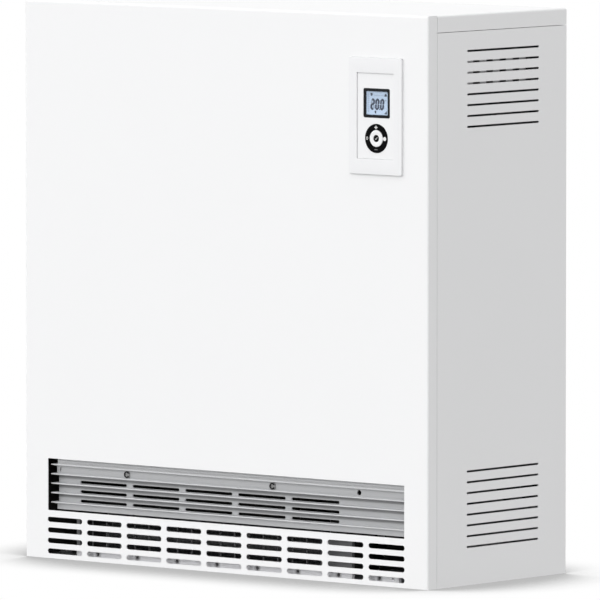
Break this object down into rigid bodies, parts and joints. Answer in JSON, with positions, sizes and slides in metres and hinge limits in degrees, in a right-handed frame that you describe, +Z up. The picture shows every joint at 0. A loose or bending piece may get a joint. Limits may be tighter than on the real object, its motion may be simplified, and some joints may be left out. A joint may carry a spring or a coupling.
{
  "type": "storage heater",
  "caption": "Flat white night storage heater: steel casing round insulated bricks, louvred aluminium outlet low in front, slotted intake, side louvres and a push-key controller with display.",
  "frame": {"origin": "on the floor, under the middle of the bounding box", "axes": "+Z up, front faces -Y, +X to the right as seen from the front"},
  "size_m": [0.605, 0.2532, 0.65],
  "materials": {
    "white_paint": "smooth white powder coat, satin",
    "galvanised_steel": "hot-dip galvanised sheet",
    "bright_steel": "zinc-plated, bright",
    "insulation_board": "pressed microporous board, matt",
    "storage_brick": "fired magnetite ceramic, rough",
    "element_steel": "heat-darkened stainless tube",
    "ceramic": "glazed steatite",
    "fan_aluminium": "rolled, plain",
    "bearing_bronze": "sintered bronze",
    "motor_black": "black lacquer",
    "bimetal": "rolled strip",
    "filter_grey": "moulded, fine grain",
    "filter_gauze": "dark woven gauze",
    "grille_aluminium": "extruded, silver-grey satin",
    "lock_steel": "zinc-plated, bright",
    "circuit_board": "solder resist over fibreglass",
    "white_plastic": "moulded, fine grain",
    "red_plastic": "moulded",
    "rubber": "moulded, matt",
    "black_plastic": "moulded, gloss",
    "display_glass": "clear, gloss",
    "display_panel": "backlit liquid crystal, pale blue"
  },
  "bodies": {
    "casing": {"front_panel": "white_paint", "top_cover": "white_paint", "left_panel": "white_paint", "right_panel": "white_paint", "base_pan": "galvanised_steel", "rear_panel": "galvanised_steel", "core_jacket": "galvanised_steel", "inner_front_wall": "galvanised_steel", "core_lid": "galvanised_steel", "fan_housing": "galvanised_steel", "outlet_duct": "galvanised_steel", "side_baffle": "galvanised_steel", "control_plate": "galvanised_steel", "case_screws": "bright_steel", "core_sensor": "bright_steel", "insulation_floor": "insulation_board", "insulation_rear": "insulation_board", "insulation_front": "insulation_board", "insulation_left": "insulation_board", "insulation_right": "insulation_board", "insulation_top": "insulation_board", "brick_row_1": "storage_brick", "brick_row_2": "storage_brick", "brick_row_3": "storage_brick", "brick_row_4": "storage_brick", "heating_element_1": "element_steel", "heating_element_2": "element_steel", "heating_element_3": "element_steel", "element_bushes": "ceramic", "fan_bearing": "bearing_bronze", "fan_motor": "motor_black", "bimetal_strip": "bimetal", "lint_filter_frame": "filter_grey", "lint_filter_mesh": "filter_gauze", "outlet_grille": "grille_aluminium", "control_board": "circuit_board", "controller_board": "circuit_board", "charge_relay": "white_plastic", "terminal_block": "white_plastic", "safety_limiter": "white_plastic", "controller_bezel": "white_plastic", "controller_fascia": "white_plastic", "feet": "rubber", "cable_grommets": "rubber", "display_frame": "black_plastic", "display_glass": "display_glass", "display_panel": "display_panel"},
    "fan_rotor": {"fan_impeller": "fan_aluminium", "fan_shaft": "bright_steel"},
    "flap": {"mixing_flap": "galvanised_steel", "flap_shaft": "bright_steel", "flap_lever": "galvanised_steel"},
    "lock_left": {"grille_lock_left": "lock_steel"},
    "lock_right": {"grille_lock_right": "lock_steel"},
    "reset_button": {"limiter_button": "red_plastic"},
    "key_up": {"key_up": "black_plastic"},
    "key_down": {"key_down": "black_plastic"},
    "key_left": {"key_left": "black_plastic"},
    "key_right": {"key_right": "black_plastic"},
    "key_ok": {"key_ok": "white_plastic"}
  },
  "joints": [
    {"name": "fan_spin", "type": "hinge", "parent": "casing", "child": "fan_rotor", "pos_m": [0, -0.0284, 0.036], "axis": [1, 0, 0], "continuous": true},
    {"name": "flap_swing", "type": "hinge", "parent": "casing", "child": "flap", "pos_m": [0, -0.0189, 0.113], "axis": [1, 0, 0], "range_deg": [0, 35], "stiffness_Nm_per_rad": 0.4, "springref_deg": -34.38},
    {"name": "lock_left_turn", "type": "hinge", "parent": "casing", "child": "lock_left", "pos_m": [-0.1547, -0.1094, 0.10378], "axis": [0, 1, 0], "range_deg": [0, 90]},
    {"name": "lock_right_turn", "type": "hinge", "parent": "casing", "child": "lock_right", "pos_m": [0.0653, -0.1094, 0.10378], "axis": [0, 1, 0], "range_deg": [0, 90]},
    {"name": "reset_button_press", "type": "slide", "parent": "casing", "child": "reset_button", "axis": [-1, 0, 0], "range_m": [0, 0.002], "stiffness_N_per_m": 1500},
    {"name": "key_up_press", "type": "slide", "parent": "casing", "child": "key_up", "axis": [0, 1, 0], "range_m": [0, 0.0008], "stiffness_N_per_m": 2500},
    {"name": "key_down_press", "type": "slide", "parent": "casing", "child": "key_down", "axis": [0, 1, 0], "range_m": [0, 0.0008], "stiffness_N_per_m": 2500},
    {"name": "key_left_press", "type": "slide", "parent": "casing", "child": "key_left", "axis": [0, 1, 0], "range_m": [0, 0.0008], "stiffness_N_per_m": 2500},
    {"name": "key_right_press", "type": "slide", "parent": "casing", "child": "key_right", "axis": [0, 1, 0], "range_m": [0, 0.0008], "stiffness_N_per_m": 2500},
    {"name": "key_ok_press", "type": "slide", "parent": "casing", "child": "key_ok", "axis": [0, 1, 0], "range_m": [0, 0.0008], "stiffness_N_per_m": 2500}
  ]
}
